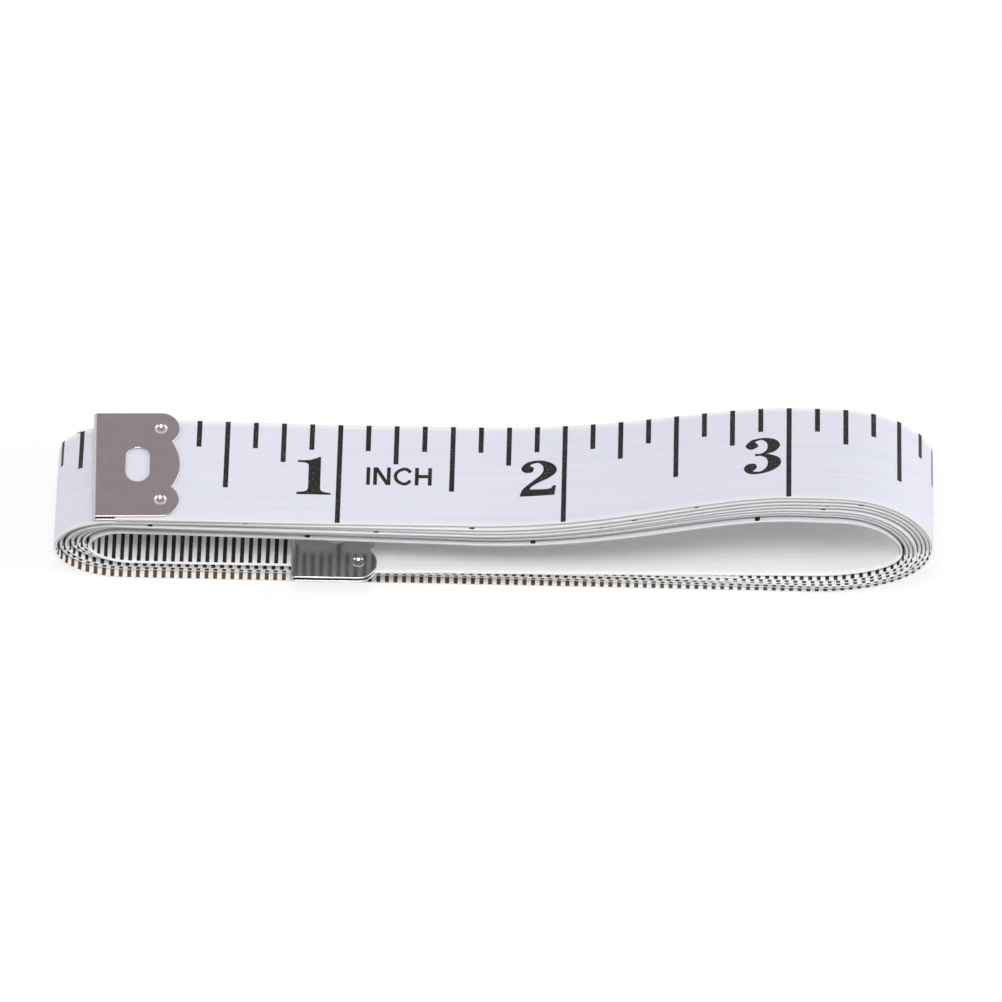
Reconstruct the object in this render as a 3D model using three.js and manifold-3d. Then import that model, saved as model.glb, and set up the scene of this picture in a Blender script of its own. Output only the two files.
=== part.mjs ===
// A soft tailor's tape measure: one printed band wound by hand into a flat loop, with a folded metal
// clip on each end. Millimetres, +Z up. X runs along the loop, Y across the tape, and the lower run
// lies on Z = 0. Seen from -Y the band starts at the upper left and winds clockwise, inwards.
import * as THREE from "three";
import { mergeVertices } from "three/addons/utils/BufferGeometryUtils.js";
import Module from "manifold-3d";

// The tape.
const TAPE_WIDTH = 13;
const TAPE_THICKNESS = 0.38;

// The loop, over the outside of its outermost turn. The right end stands higher than the left one.
const LOOP_LENGTH = 99.3;
const LEFT_HEIGHT = 12.2;
const RIGHT_HEIGHT = 17.9;
const BACK_DROP = 2; // how much lower the right end stands at the tape's back edge
const BACK_SHIFT = 1.5; // and how far its upper side stands towards +Y
const CLIMB_LENGTH = 37; // stretch of the upper run that climbs to the higher end
const LEVEL_AFTER_CLIMB = 6; // level stretch between the climb and the right bend

// The bends are oval: how far from the loop's tip each run starts to round into its bend.
const LEFT_UPPER_REACH = 6.8;
const LEFT_LOWER_REACH = 8;
const RIGHT_UPPER_REACH = 11.4;
const RIGHT_LOWER_REACH = 13.6;

// The winding.
const TURN_GAP = 0.43; // air between one turn and the next
const WHOLE_TURNS = 4; // the band adds part of another turn before it ends
const OUTER_END_INSET = 0.9; // where the band starts on the upper run, from the left bend
const INNER_END_INSET = 23.5; // where it ends on the lower run, from the left bend
const SIDE_DRIFT = 0.25; // how far the winding has crept towards -Y at its inner end
const SIDE_SKEW = 0.9; // and how far more at the loop's right end, or less at its left end
const END_SWING = 1.6; // how far the inner free end swings out towards -Y
const SWING_LENGTH = 60; // stretch over which it swings back
const END_LIFT = 0.4; // how far each free end stands off the turn below it
const LIFT_LENGTH = 30; // stretch over which a free end settles back

// The free ends bend in links, which hinge on lines across the tape.
const OUTER_LINKS = 3;
const OUTER_LINK_LENGTH = 20;
const OUTER_LAST_LENGTH = 26; // from the last hinge line to the end of the tape
const INNER_LINK_LENGTH = 28;
const HINGE_GAP = 0.3;

// The end clips: sheet metal folded over the tape, both alike.
const CLIP_SHEET = 0.25;
const CLIP_CLEARANCE = 0.06; // between the tape and each plate
const CLIP_WIDTH = 13.4;
const CLIP_LENGTH = 9.76; // from the fold to the middle lobe's tip
const FOLD_REACH = 2.5; // how far the fold stands past the end of the tape
const SLOT_LENGTH = 4.3; // across the tape
const SLOT_WIDTH = 2.65;
const SLOT_FROM_FOLD = 5;
const CORNER_LOBE_RADIUS = 2.1;
const CORNER_LOBE_FROM_FOLD = 7.6; // its centre, which is the dimple's centre too
const NOTCH_TURN = THREE.MathUtils.degToRad(53); // how far a corner lobe turns in before the notch
const DIMPLE_DIAMETER = 1.35;
const DIMPLE_DEPTH = 0.16;
const OUTER_CLIP_SHIFT = 0.45; // the outer clip sits a little off the middle of the tape, towards +Y
const INNER_CLIP_SHIFT = 0.7; // and the inner clip towards -Y

// Steps of the faceted curves.
const BEND_STEPS = 14;
const CLIMB_STEPS = 10;
const LIFT_STEPS = 5;
const ARC_STEPS = 10; // arcs of the clips
const DIMPLE_STEPS = 12;
const ROUNDING_STEPS = 3; // where a run starts to round into a bend
const HEADING_STEP = 0.01;
const LEAST_RING_GAP = 0.3; // rings of the band closer than this are one
const SAME_POINT = 1e-4; // points of an outline closer than this are one

const wasm = await Module();
wasm.setup();

const smooth = (t) => t * t * (3 - 2 * t);
const quarter = Math.PI / 2;
const unit = (t) => THREE.MathUtils.clamp(t, 0, 1);

// The centre line of the outermost turn, in the plane of X and Z.
const leftRadius = (LEFT_HEIGHT - TAPE_THICKNESS) / 2;
const rightRadius = (RIGHT_HEIGHT - TAPE_THICKNESS) / 2;
const leftX = -LOOP_LENGTH / 2 + LEFT_HEIGHT / 2;
const rightX = LOOP_LENGTH / 2 - RIGHT_HEIGHT / 2;
const tipX = LOOP_LENGTH / 2 - TAPE_THICKNESS / 2;
const runLength = rightX - leftX;
const climbEnd = runLength - LEVEL_AFTER_CLIMB;
const climbStart = climbEnd - CLIMB_LENGTH;
const climbHeight = RIGHT_HEIGHT - LEFT_HEIGHT;
const rightBendAt = runLength;
const lowerRunAt = rightBendAt + Math.PI * rightRadius;
const leftBendAt = lowerRunAt + runLength;
const turnLength = leftBendAt + Math.PI * leftRadius;

// How much of a run's height is left at a distance from the loop's tip: 1 on the run, 0 at the tip.
const rounding = (toTip, reach) => Math.sqrt(1 - (1 - unit(toTip / reach)) ** 2);

// A point on that line, u along from the start of the upper run.
function loopPoint(u) {
  const along = THREE.MathUtils.euclideanModulo(u, turnLength);
  const rightAngle = (along - rightBendAt) / rightRadius;
  const leftAngle = (along - leftBendAt) / leftRadius;
  let x = leftX + along;
  if (along > rightBendAt) x = rightX + rightRadius * Math.sin(rightAngle);
  if (along > lowerRunAt) x = rightX - (along - lowerRunAt);
  if (along > leftBendAt) x = leftX - leftRadius * Math.sin(leftAngle);
  const isLower = rightAngle > quarter && leftAngle < quarter;
  const climb = smooth(unit((x - leftX - climbStart) / CLIMB_LENGTH));
  const upperZ = LEFT_HEIGHT - TAPE_THICKNESS / 2 + climbHeight * climb;
  const runZ = isLower ? TAPE_THICKNESS / 2 : upperZ;
  const rightReach = isLower ? RIGHT_LOWER_REACH : RIGHT_UPPER_REACH;
  const leftReach = isLower ? LEFT_LOWER_REACH : LEFT_UPPER_REACH;
  const fromRight = (runZ - RIGHT_HEIGHT / 2) * rounding(tipX - x, rightReach) + RIGHT_HEIGHT / 2;
  const z = (fromRight - LEFT_HEIGHT / 2) * rounding(tipX + x, leftReach) + LEFT_HEIGHT / 2;
  return new THREE.Vector2(x, z);
}

// A place on that line with the normal that points inwards.
function loopAt(u) {
  const heading = loopPoint(u + HEADING_STEP).sub(loopPoint(u - HEADING_STEP));
  return {
    point: loopPoint(u),
    normal: new THREE.Vector2(heading.y, -heading.x).normalize(),
  };
}

// The band steps inwards by one pitch as it goes round each left bend, so the other stretches of a turn
// lie parallel to the outermost one. Both its ends stand off the turn beside them.
const turnPitch = TAPE_THICKNESS + TURN_GAP;
const outerEnd = OUTER_END_INSET;
const innerEnd = WHOLE_TURNS * turnLength + leftBendAt - INNER_END_INSET;
const liftAt = (distance) => END_LIFT * (1 - smooth(unit(distance / LIFT_LENGTH)));
const swingAt = (distance) => END_SWING * (1 - smooth(unit(distance / SWING_LENGTH)));

// How far a place has climbed to the higher end, from 0 on the lower run to 1 at the top of the climb.
function raisedAt(u) {
  const along = THREE.MathUtils.euclideanModulo(u, turnLength);
  if (along < rightBendAt) return smooth(unit((along - climbStart) / CLIMB_LENGTH));
  if (along < lowerRunAt) return (1 + Math.cos((along - rightBendAt) / rightRadius)) / 2;
  return 0;
}

function bandAt(u) {
  const { point, normal } = loopAt(u);
  const turn = Math.floor(u / turnLength);
  const leftBend = unit((u - turn * turnLength - leftBendAt) / (turnLength - leftBendAt));
  const wound = turnPitch * (turn + smooth(leftBend));
  const inset = wound - liftAt(u - outerEnd) + liftAt(innerEnd - u);
  const centre = point.clone().addScaledVector(normal, inset);
  const wide = SIDE_DRIFT + (SIDE_SKEW * centre.x) / (LOOP_LENGTH / 2);
  const side = (-wide * (u - outerEnd)) / (innerEnd - outerEnd) - swingAt(innerEnd - u);
  const drop = BACK_DROP * raisedAt(u);
  const shift = BACK_SHIFT * raisedAt(u) ** 2;
  return { centre, normal, side: side + shift, drop };
}

// Where the band has its rings: at the steps of each bend and climb, and along each free end.
function evenSteps(start, length, count) {
  return Array.from({ length: count + 1 }, (_, i) => start + (length * i) / count);
}
const turnSteps = [
  ...evenSteps(climbStart, CLIMB_LENGTH, CLIMB_STEPS),
  ...evenSteps(rightBendAt, rightRadius - RIGHT_UPPER_REACH, ROUNDING_STEPS),
  ...evenSteps(rightBendAt, Math.PI * rightRadius, BEND_STEPS),
  ...evenSteps(lowerRunAt, RIGHT_LOWER_REACH - rightRadius, ROUNDING_STEPS),
  ...evenSteps(leftBendAt, leftRadius - LEFT_LOWER_REACH, ROUNDING_STEPS),
  ...evenSteps(leftBendAt, Math.PI * leftRadius, BEND_STEPS),
];
const bandSteps = [
  ...evenSteps(outerEnd, LIFT_LENGTH, LIFT_STEPS),
  ...evenSteps(innerEnd - LIFT_LENGTH, LIFT_LENGTH, LIFT_STEPS),
];
for (let turn = 0; turn <= WHOLE_TURNS; turn += 1) {
  bandSteps.push(...turnSteps.map((step) => turn * turnLength + step));
}
bandSteps.sort((a, b) => a - b);

function stepsBetween(start, end) {
  const steps = [start];
  for (const step of bandSteps) {
    const isClear = step - steps.at(-1) > LEAST_RING_GAP && end - step > LEAST_RING_GAP;
    if (isClear) steps.push(step);
  }
  steps.push(end);
  return steps;
}

// A closed stretch of the band: a ring of four corners at each step, and a cap on each end.
function bandGeometry(start, end) {
  const positions = [];
  const faces = [];
  const steps = stepsBetween(start, end);
  for (const u of steps) {
    const { centre, normal, side, drop } = bandAt(u);
    const half = normal.clone().multiplyScalar(TAPE_THICKNESS / 2);
    const front = side - TAPE_WIDTH / 2;
    const back = side + TAPE_WIDTH / 2;
    const outer = centre.clone().sub(half);
    const inner = centre.clone().add(half);
    positions.push(outer.x, front, outer.y, outer.x, back, outer.y - drop);
    positions.push(inner.x, back, inner.y - drop, inner.x, front, inner.y);
  }
  const corners = 4;
  for (let ring = 0; ring + 1 < steps.length; ring += 1) {
    for (let corner = 0; corner < corners; corner += 1) {
      const next = (corner + 1) % corners;
      const a = ring * corners + corner;
      const b = ring * corners + next;
      faces.push(a, a + corners, b, b, a + corners, b + corners);
    }
  }
  const last = (steps.length - 1) * corners;
  faces.push(0, 1, 2, 0, 2, 3);
  faces.push(last, last + 2, last + 1, last, last + 3, last + 2);
  const geometry = new THREE.BufferGeometry();
  geometry.setAttribute("position", new THREE.Float32BufferAttribute(positions, 3));
  geometry.setIndex(faces);
  geometry.computeVertexNormals();
  return geometry;
}

// Conversions to and from solids that can be joined and cut.
function toSolid(geometry) {
  const plain = geometry.clone();
  plain.deleteAttribute("normal");
  plain.deleteAttribute("uv");
  const merged = mergeVertices(plain);
  const mesh = new wasm.Mesh({
    numProp: 3,
    vertProperties: new Float32Array(merged.attributes.position.array),
    triVerts: new Uint32Array(merged.index.array),
  });
  return new wasm.Manifold(mesh);
}

function toGeometry(solid) {
  const mesh = solid.getMesh();
  const geometry = new THREE.BufferGeometry();
  geometry.setAttribute("position", new THREE.BufferAttribute(mesh.vertProperties, 3));
  geometry.setIndex(new THREE.BufferAttribute(mesh.triVerts, 1));
  geometry.computeVertexNormals();
  return geometry;
}

// The clip in its own frame: the end of the tape at the origin, the tape along +X, the fold at -X.
const clipMouth = TAPE_THICKNESS + 2 * CLIP_CLEARANCE;
const clipHeight = clipMouth + 2 * CLIP_SHEET;
const clipTip = CLIP_LENGTH - FOLD_REACH;
const lobeX = CORNER_LOBE_FROM_FOLD - FOLD_REACH;
const lobeY = CLIP_WIDTH / 2 - CORNER_LOBE_RADIUS;

// Points along an arc, and an outline through points that drops the ones that coincide.
function arcPoints(x, y, radius, from, to) {
  return evenSteps(from, to - from, ARC_STEPS).map(
    (angle) => new THREE.Vector2(x + radius * Math.cos(angle), y + radius * Math.sin(angle)),
  );
}

function outlineThrough(points, Outline) {
  const isNew = (point, i) => point.distanceTo(points.at(i - 1)) > SAME_POINT;
  return new Outline(points.filter(isNew));
}

// The folded strip seen from the side.
function foldedStrip() {
  const foldX = clipHeight / 2 - FOLD_REACH;
  const points = [
    new THREE.Vector2(clipTip, clipHeight / 2),
    ...arcPoints(foldX, 0, clipHeight / 2, quarter, 3 * quarter),
    new THREE.Vector2(clipTip, -clipHeight / 2),
    new THREE.Vector2(clipTip, -clipMouth / 2),
    ...arcPoints(foldX, 0, clipMouth / 2, 3 * quarter, quarter),
    new THREE.Vector2(clipTip, clipMouth / 2),
  ];
  const geometry = new THREE.ExtrudeGeometry(outlineThrough(points, THREE.Shape), {
    depth: CLIP_WIDTH,
    bevelEnabled: false,
  });
  geometry.rotateX(quarter);
  geometry.translate(0, CLIP_WIDTH / 2, 0);
  return toSolid(geometry);
}

// The strip's outline seen from above: two corner lobes, a middle lobe between them and the slot.
function clipOutline() {
  const notchX = lobeX + CORNER_LOBE_RADIUS * Math.cos(NOTCH_TURN);
  const notchY = lobeY - CORNER_LOBE_RADIUS * Math.sin(NOTCH_TURN);
  const rise = clipTip - notchX;
  const middleRadius = (notchY ** 2 + rise ** 2) / (2 * rise);
  const middleX = clipTip - middleRadius;
  const middleTurn = Math.asin(notchY / middleRadius);
  const shape = outlineThrough(
    [
      new THREE.Vector2(-FOLD_REACH, -CLIP_WIDTH / 2),
      ...arcPoints(lobeX, -lobeY, CORNER_LOBE_RADIUS, -quarter, NOTCH_TURN),
      ...arcPoints(middleX, 0, middleRadius, -middleTurn, middleTurn),
      ...arcPoints(lobeX, lobeY, CORNER_LOBE_RADIUS, -NOTCH_TURN, quarter),
      new THREE.Vector2(-FOLD_REACH, CLIP_WIDTH / 2),
    ],
    THREE.Shape,
  );
  const slotX = SLOT_FROM_FOLD - FOLD_REACH;
  const slotRadius = SLOT_WIDTH / 2;
  const slotY = SLOT_LENGTH / 2 - slotRadius;
  const slot = outlineThrough(
    [
      ...arcPoints(slotX, slotY, slotRadius, 0, 2 * quarter),
      ...arcPoints(slotX, -slotY, slotRadius, 2 * quarter, 4 * quarter),
    ],
    THREE.Path,
  );
  shape.holes.push(slot);
  const geometry = new THREE.ExtrudeGeometry(shape, {
    depth: 2 * clipHeight,
    bevelEnabled: false,
  });
  geometry.translate(0, 0, -clipHeight);
  return toSolid(geometry);
}

// A punched dimple: a cone whose tip points into the plate, from above (side 1) or below (side -1).
function dimple(y, side) {
  const geometry = new THREE.ConeGeometry(DIMPLE_DIAMETER, 2 * DIMPLE_DEPTH, DIMPLE_STEPS);
  geometry.rotateX(-side * quarter);
  geometry.translate(lobeX, y, (side * clipHeight) / 2);
  return toSolid(geometry);
}

function clipGeometry() {
  let solid = foldedStrip().intersect(clipOutline());
  for (const y of [-lobeY, lobeY]) {
    for (const side of [1, -1]) {
      solid = solid.subtract(dimple(y, side));
    }
  }
  return toGeometry(solid);
}

// Materials.
const vinyl = new THREE.MeshStandardMaterial({ color: 0xdddeec, roughness: 0.5, metalness: 0 });
const nickel = new THREE.MeshStandardMaterial({ color: 0x8b8082, roughness: 0.25, metalness: 1 });

// The part.
const part = new THREE.Group();

function addMesh(name, geometry, material) {
  const mesh = new THREE.Mesh(geometry, material);
  mesh.name = name;
  part.add(mesh);
  return mesh;
}

// The hinge lines of the outer end, from the coil outwards, and the one of the inner end.
const outerHinges = Array.from(
  { length: OUTER_LINKS },
  (_, i) => outerEnd + OUTER_LAST_LENGTH + (OUTER_LINKS - 1 - i) * OUTER_LINK_LENGTH,
);
const innerHinge = innerEnd - INNER_LINK_LENGTH;

addMesh("tape_coil", bandGeometry(outerHinges[0] + HINGE_GAP / 2, innerHinge - HINGE_GAP / 2), vinyl);
outerHinges.forEach((hinge, i) => {
  const isLast = i === OUTER_LINKS - 1;
  const farEnd = isLast ? outerEnd : outerHinges[i + 1] + HINGE_GAP / 2;
  addMesh(`outer_end_link_${i + 1}`, bandGeometry(farEnd, hinge - HINGE_GAP / 2), vinyl);
});
addMesh("inner_end_link", bandGeometry(innerHinge + HINGE_GAP / 2, innerEnd), vinyl);

// A clip lies along the stretch of tape that it grips.
function addClip(name, end, grippedTo, shift) {
  const from = bandAt(end);
  const to = bandAt(grippedTo);
  const along = to.centre.clone().sub(from.centre);
  const clip = addMesh(name, clipGeometry(), nickel);
  clip.position.set(from.centre.x, from.side + shift, from.centre.y);
  clip.rotation.y = -Math.atan2(along.y, along.x);
}
addClip("outer_clip", outerEnd, outerEnd + clipTip, OUTER_CLIP_SHIFT);
addClip("inner_clip", innerEnd, innerEnd - clipTip, -INNER_CLIP_SHIFT);

// The origin is the middle of the underside.
const box = new THREE.Box3().setFromObject(part, true);
const middle = box.getCenter(new THREE.Vector3());
part.position.set(-middle.x, -middle.y, -box.min.z);

// The least gap of the band to itself, measured between its rings' centres and the other turns.
function leastGap() {
  const rings = stepsBetween(outerEnd, innerEnd).map((u) => ({ u, centre: bandAt(u).centre }));
  let least = Infinity;
  for (const ring of rings) {
    for (let i = 0; i + 1 < rings.length; i += 1) {
      const apart = Math.min(Math.abs(rings[i].u - ring.u), Math.abs(rings[i + 1].u - ring.u));
      if (apart < turnLength / 2) continue;
      const start = rings[i].centre;
      const span = rings[i + 1].centre.clone().sub(start);
      const t = unit(ring.centre.clone().sub(start).dot(span) / span.lengthSq());
      const nearest = start.clone().addScaledVector(span, t);
      least = Math.min(least, nearest.distanceTo(ring.centre));
    }
  }
  return least - TAPE_THICKNESS;
}
console.log(`least gap of the band to itself: ${leastGap().toFixed(3)} mm`);
for (const u of [...outerHinges, innerHinge]) {
  const { centre, drop } = bandAt(u);
  const x = (centre.x + part.position.x).toFixed(3);
  const z = (centre.y - drop / 2 + part.position.z).toFixed(3);
  console.log(`hinge line at x ${x}, z ${z}`);
}

export default part;
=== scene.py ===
"""The look of a cloth tape measure that lies wound by hand into a long low loop.

The tape follows the winding path of the CAD model, with eight loops where the solids have five, in
the same depth. Its scales are printed on it as thin raised marks, and a folded clip grips each end.
Lengths are in millimetres until a mesh is made. Those of the lamps and the camera are in metres.
"""

import math

import bmesh
import bpy
import numpy as np
from mathutils import Matrix, Vector


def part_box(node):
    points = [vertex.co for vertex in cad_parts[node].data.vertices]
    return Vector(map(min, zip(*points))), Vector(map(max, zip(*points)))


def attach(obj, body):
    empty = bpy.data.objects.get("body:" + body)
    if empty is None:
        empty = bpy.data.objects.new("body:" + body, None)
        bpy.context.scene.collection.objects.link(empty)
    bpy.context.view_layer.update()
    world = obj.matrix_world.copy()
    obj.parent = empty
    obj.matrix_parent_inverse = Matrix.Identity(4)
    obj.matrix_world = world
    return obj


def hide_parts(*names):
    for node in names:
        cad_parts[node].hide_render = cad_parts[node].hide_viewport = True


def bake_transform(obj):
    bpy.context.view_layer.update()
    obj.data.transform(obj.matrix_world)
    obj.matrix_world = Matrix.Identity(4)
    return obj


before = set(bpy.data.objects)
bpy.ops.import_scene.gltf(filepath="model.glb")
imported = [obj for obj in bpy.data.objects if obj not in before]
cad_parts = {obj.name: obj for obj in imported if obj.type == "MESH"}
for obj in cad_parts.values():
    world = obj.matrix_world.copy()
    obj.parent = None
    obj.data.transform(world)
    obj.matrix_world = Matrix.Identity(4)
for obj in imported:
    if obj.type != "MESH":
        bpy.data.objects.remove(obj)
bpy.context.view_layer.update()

MM = 0.001

# The tape and its winding path, as in the CAD model.
TAPE_WIDTH = 13.0
TAPE_THICKNESS = 0.38
LOOP_LENGTH = 99.3
LEFT_HEIGHT = 12.2
RIGHT_HEIGHT = 17.9
BACK_DROP = 2.0  # how much lower the right end stands at the tape's back edge
BACK_SHIFT = 1.5  # how far its upper side stands towards +Y
CLIMB_LENGTH = 37.0  # stretch of the upper run that climbs to the higher end
LEVEL_AFTER_CLIMB = 6.0
LEFT_UPPER_REACH = 6.8  # how far from the loop's tip each run starts to round into its bend
LEFT_LOWER_REACH = 8.0
RIGHT_UPPER_REACH = 11.4
RIGHT_LOWER_REACH = 13.6
OUTER_END_INSET = 0.9  # where the tape starts on the upper run, from the left bend
INNER_END_INSET = 23.5  # where it ends on the lower run, from the left bend
END_LIFT = 0.4  # how far both ends stand off the turn beside them
LIFT_LENGTH = 30.0  # stretch over which an end settles back

# What the look has of its own: all the loops of the tape, and how they lie.
WINDING_DEPTH = 3.24  # from the outermost turn to the innermost one
WHOLE_TURNS = 7  # the tape adds part of another turn before it ends
EDGE_RADIUS = 0.12
OUTER_END_CUT = 0.5  # how much of the outer end is cut off inside its clip
LEADER_GAP = 0.2  # how far the last turn stands off the others at the right bend
LEFT_SLACK = 0.19  # how much shorter than the one outside it each turn ends at the left bend
LEFT_SLACK_LENGTH = 25.0  # how far from the left bend's tip that reaches
TURN_SLACK = 2.37  # length that slight waves of the lower run take up in each turn
OUTER_END_RISE = 0.4  # how much higher the outer end stands at the tape's back edge
RISE_LENGTH = 35.0
LEFT_BACK_DROP = 0.65  # how much lower the left bend's upper side stands at the tape's back edge
LEFT_DROP_LENGTH = 16.0

# How far each turn stands towards -Y at places round the loop, from the outermost turn in.
UPPER_LEFT = (0.14, -0.06, -0.5, -0.05, -0.35, -0.65, -0.9, -0.5)
UPPER_MIDDLE = (-0.3, 0.01, 0.15, 0.27, -0.02, 0.07, -0.21, 0.2)
UPPER_RIGHT = (0.2, 0.26, 0.42, 0.53, 0.75, 0.78, 0.81, 1.29)
LOWER_RIGHT = (0.2, 0.08, 0, -0.1, 0.75, 0.62, 0.5, 0.05)
LOWER_MIDDLE = (0.15, -0.5, -0.45, -0.6, -0.8, -0.2, -0.2, 0.72)
LOWER_LEFT = (0.2, -0.63, -0.78, -1.27, -0.97, -0.72, -0.07, 1.95)
SETTLE_LENGTH = 16.0  # stretch over which one of these passes into the next

# Where the free ends bend in the CAD model: their hinge lines, and where a bend is given to end after them.
OUTER_LINK_LENGTH = 20.0
OUTER_LAST_LENGTH = 26.0  # from the last hinge line to the end of the tape
INNER_LINK_LENGTH = 28.0
BEND_LENGTH = 14.0  # stretch after a hinge line to where a bend is given to end
SEAM_BEFORE_HINGE = 3.0  # a piece of tape ends this far before the next one's hinge line

# The printed scales: inches on the outer face, centimetres on the inner face, both from the outer end.
INCH = 25.4
LAST_INCH = 60
LAST_CENTIMETRE = 150
INK_HEIGHT = 0.018
INK_SUNK = 0.01
OVERLAP_STEP = 0.1  # part of the ink's height by which overlapping strokes differ
EDGE_MARGIN = 0.14  # bare stretch between the centimetre lines and the edge
INCH_LINE_MARGIN = 0.14
DRIFT_FROM = 1345.0  # up to here the centimetre scale runs over its edge of the tape
DRIFT_TO = 1395.0  # from here on it keeps the margin too
CENTIMETRES_FROM = 1.1  # where the centimetre scale starts
INCH_LINE_WIDTH = 0.56
INCH_TICKS = {1: 3.35, 2: 5.05, 4: 8.55}  # length of the ticks at odd eighths, quarters and halves
INCH_NUMBER_BASE = 9.2  # from the edge where the ticks start
NUMBER_GAP = 0.87  # between a number and its line
MILLIMETRE_LINE_WIDTH = 0.46
MILLIMETRE_TICK = 3.6
FIVE_MILLIMETRE_TICK = 4.6
CENTIMETRE_NUMBER_BASE = 8.6
CENTIMETRE_NUMBER_SCALE = 0.62
WORD_BASE = 7.8
WORD_AFTER_LINE = 3.08
WORD_SCALE = 1.05
OUTER_NUMBERS_PAST = 90.0  # inch numbers go on so far into the second turn, under the end that lifts
INNER_NUMBERS_PAST = 60.0  # centimetre numbers start so far into the last whole turn
LIFTED_LENGTH = 90.0  # they are on so much of the outer end too, which bares its inner face when it lifts

# The end clips, as in the CAD model.
CLIP_SHEET = 0.25
CLIP_CLEARANCE = 0.06
CLIP_WIDTH = 13.4
CLIP_LENGTH = 9.76
FOLD_REACH = 2.5
SLOT_LENGTH = 4.3
SLOT_WIDTH = 2.65
SLOT_FROM_FOLD = 5.0
CORNER_LOBE_RADIUS = 2.1
CORNER_LOBE_FROM_FOLD = 7.6
NOTCH_TURN = math.radians(53)  # how far a corner lobe turns in before the notch
OUTER_CLIP_SHIFT = 0.45  # off the middle of the tape, towards +Y
INNER_CLIP_SHIFT = 0.7  # and towards -Y

# What the look has of its own: fuller dimples, rounded edges, and how each clip sits.
DIMPLE_DIAMETER = 1.4
DIMPLE_DEPTH = 0.22
CLIP_ROUNDING = 0.1
ROUNDED_FROM = math.radians(60)  # edges that turn by more than this are rounded
SHARP_FROM = math.radians(20)  # and those that turn by more than this are shaded as edges
OUTER_CLIP_PUSH = 0.26  # how far the outer clip has been pushed up the tape
OUTER_CLIP_TURN = math.radians(1.4)
INNER_CLIP_TURN = math.radians(-1.3)

# Fineness of the meshes.
SAMPLE_STEP = 0.1
RING_STEP = 0.5
EDGE_STEPS = 3
FLAT_INSET = 0.3  # from a rounded edge to the line that keeps the face beside it flat
STROKE_STEPS = 8  # between two points of a pen stroke
OUTLINE_STEPS = 5  # between two points of a glyph's outline
ARC_STEPS = 24
ROUNDING_STEPS = 2
DIMPLE_SEGMENTS = 48  # round the whole ball that a dimple is part of
DIMPLE_RINGS = 64

# The view, as in the photograph.
PHOTO_SIZE = 1002
PHOTO_FOCUS = 9064.0  # focal length in pixels of the photograph
CAMERA_DISTANCE = 1.02
CAMERA_ELEVATION = math.radians(58.5)
CAMERA_AZIMUTH = math.radians(1.4)
CAMERA_TARGET = Vector((0.79, -0.86, 9.67)) * MM
CAMERA_NEAR = 0.01  # nothing closer than this is drawn
SENSOR_WIDTH = 36.0


def smooth(t):
    """A smooth step from 0 to 1 while t passes from 0 to 1."""
    t = np.clip(t, 0, 1)
    return t * t * (3 - 2 * t)


# The outermost turn's middle line, in the plane of X and Z.
left_radius = (LEFT_HEIGHT - TAPE_THICKNESS) / 2
right_radius = (RIGHT_HEIGHT - TAPE_THICKNESS) / 2
left_x = LEFT_HEIGHT / 2 - LOOP_LENGTH / 2
right_x = LOOP_LENGTH / 2 - RIGHT_HEIGHT / 2
tip_x = LOOP_LENGTH / 2 - TAPE_THICKNESS / 2
run_length = right_x - left_x
climb_end = run_length - LEVEL_AFTER_CLIMB
climb_start = climb_end - CLIMB_LENGTH
climb_height = RIGHT_HEIGHT - LEFT_HEIGHT
right_bend_at = run_length
lower_run_at = right_bend_at + math.pi * right_radius
left_bend_at = lower_run_at + run_length
turn_length = left_bend_at + math.pi * left_radius
outer_end = OUTER_END_INSET
inner_end = WHOLE_TURNS * turn_length + left_bend_at - INNER_END_INSET
turn_pitch = WINDING_DEPTH / WHOLE_TURNS


def rounding(to_tip, reach):
    """How much of a run's height is left at a distance from the loop's tip: 1 on the run, 0 at the tip."""
    return np.sqrt(1 - (1 - np.clip(to_tip / reach, 0, 1)) ** 2)


def loop_at(u):
    """Points of the outermost turn, and how far each has climbed to the higher end."""
    along = u % turn_length
    right_angle = (along - right_bend_at) / right_radius
    left_angle = (along - left_bend_at) / left_radius
    zones = [along < right_bend_at, along < lower_run_at, along < left_bend_at]
    right_bend_x = right_x + right_radius * np.sin(right_angle)
    left_bend_x = left_x - left_radius * np.sin(left_angle)
    x = np.select(zones, [left_x + along, right_bend_x, right_x + lower_run_at - along], left_bend_x)
    climb = smooth((x - left_x - climb_start) / CLIMB_LENGTH)
    lower = (right_angle > math.pi / 2) & (left_angle < math.pi / 2)
    z = np.where(lower, TAPE_THICKNESS / 2, LEFT_HEIGHT - TAPE_THICKNESS / 2 + climb_height * climb)
    right_rounding = rounding(tip_x - x, np.where(lower, RIGHT_LOWER_REACH, RIGHT_UPPER_REACH))
    left_rounding = rounding(tip_x + x, np.where(lower, LEFT_LOWER_REACH, LEFT_UPPER_REACH))
    z = RIGHT_HEIGHT / 2 + (z - RIGHT_HEIGHT / 2) * right_rounding
    z = LEFT_HEIGHT / 2 + (z - LEFT_HEIGHT / 2) * left_rounding
    raised = np.select(zones[:2], [climb, (1 + np.cos(right_angle)) / 2], 0)
    return x, z, raised


def lift_at(distance):
    """How far the tape stands off the turn beside it, at a distance from one of its ends."""
    return END_LIFT * (1 - smooth(distance / LIFT_LENGTH))


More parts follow.
